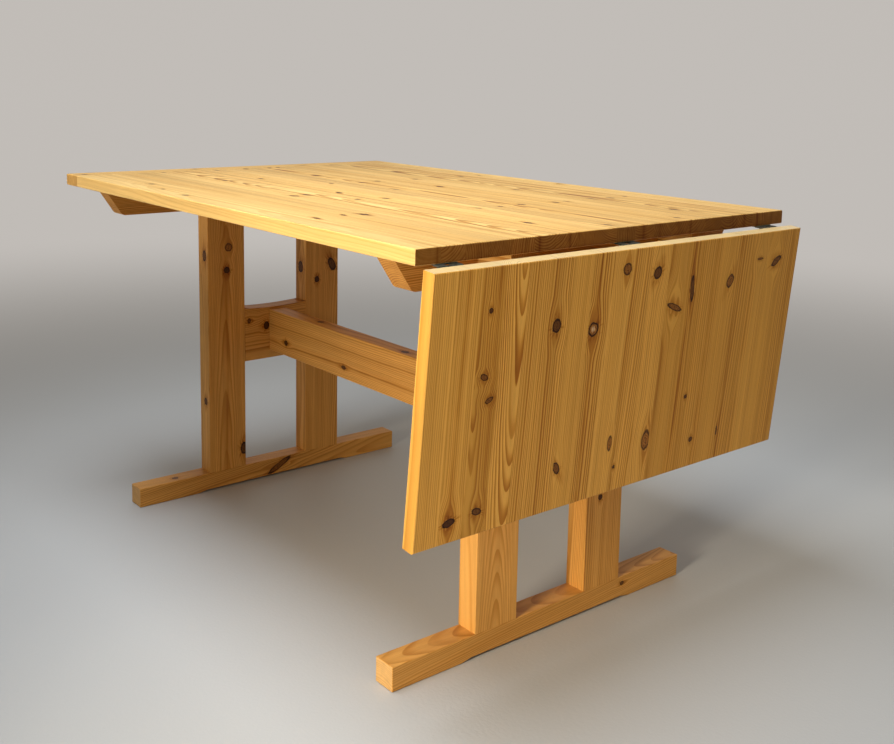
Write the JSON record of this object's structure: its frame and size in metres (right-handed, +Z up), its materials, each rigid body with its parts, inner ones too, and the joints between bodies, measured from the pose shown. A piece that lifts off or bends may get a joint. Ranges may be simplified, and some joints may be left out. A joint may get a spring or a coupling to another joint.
{
  "type": "drop leaf table",
  "caption": "Solid pine trestle table with a stretcher and a drop leaf that hangs on hinges from the short end and rests on sliding supports when raised.",
  "frame": {"origin": "centre of the bounding box on the floor, with the leaf hanging", "axes": "+X along the top towards the leaf, +Y across the table, +Z up"},
  "size_m": [1.2801, 0.8266, 0.72],
  "materials": {
    "pine_panel": "satin varnish",
    "pine_end_board": "satin varnish",
    "pine_frame": "satin varnish",
    "pine_support": "bare, sanded",
    "hinge_steel": "dulled zinc",
    "fastener_steel": "zinc plated"
  },
  "bodies": {
    "table": {"top_staves_odd": "pine_panel", "top_staves_even": "pine_panel", "top_end_board": "pine_end_board", "foot_far": "pine_frame", "foot_near": "pine_frame", "post_far_front": "pine_frame", "post_far_back": "pine_frame", "post_near_front": "pine_frame", "post_near_back": "pine_frame", "rail_far": "pine_frame", "rail_near": "pine_frame", "bearer_far": "pine_frame", "bearer_near": "pine_frame", "stretcher": "pine_frame", "loper_guide_front": "pine_support", "loper_guide_back": "pine_support", "hinge_front_plate": "hinge_steel", "hinge_middle_plate": "hinge_steel", "hinge_back_plate": "hinge_steel", "hinge_front_pin": "hinge_steel", "hinge_middle_pin": "hinge_steel", "hinge_back_pin": "hinge_steel", "hinge_screws_top": "fastener_steel", "bearer_screws": "fastener_steel", "guide_screws": "fastener_steel", "frame_bolts": "fastener_steel", "frame_washers": "fastener_steel", "frame_inserts": "fastener_steel", "stretcher_bolts": "fastener_steel", "barrel_nuts": "fastener_steel"},
    "leaf": {"leaf_staves_odd": "pine_panel", "leaf_staves_even": "pine_panel", "hinge_front_leaf_plate": "hinge_steel", "hinge_middle_leaf_plate": "hinge_steel", "hinge_back_leaf_plate": "hinge_steel", "hinge_screws_leaf": "fastener_steel"},
    "support_front": {"loper_front": "pine_support", "loper_peg_front": "pine_support"},
    "support_back": {"loper_back": "pine_support", "loper_peg_back": "pine_support"}
  },
  "joints": [
    {"name": "leaf_hinge", "type": "hinge", "parent": "table", "child": "leaf", "pos_m": [0.60918, 0, 0.6895], "axis": [0, -1, 0], "range_deg": [-12, 95.45]},
    {"name": "support_front_slide", "type": "slide", "parent": "table", "child": "support_front", "axis": [1, 0, 0], "range_m": [0, 0.022]},
    {"name": "support_back_slide", "type": "slide", "parent": "table", "child": "support_back", "axis": [1, 0, 0], "range_m": [0, 0.022]}
  ]
}
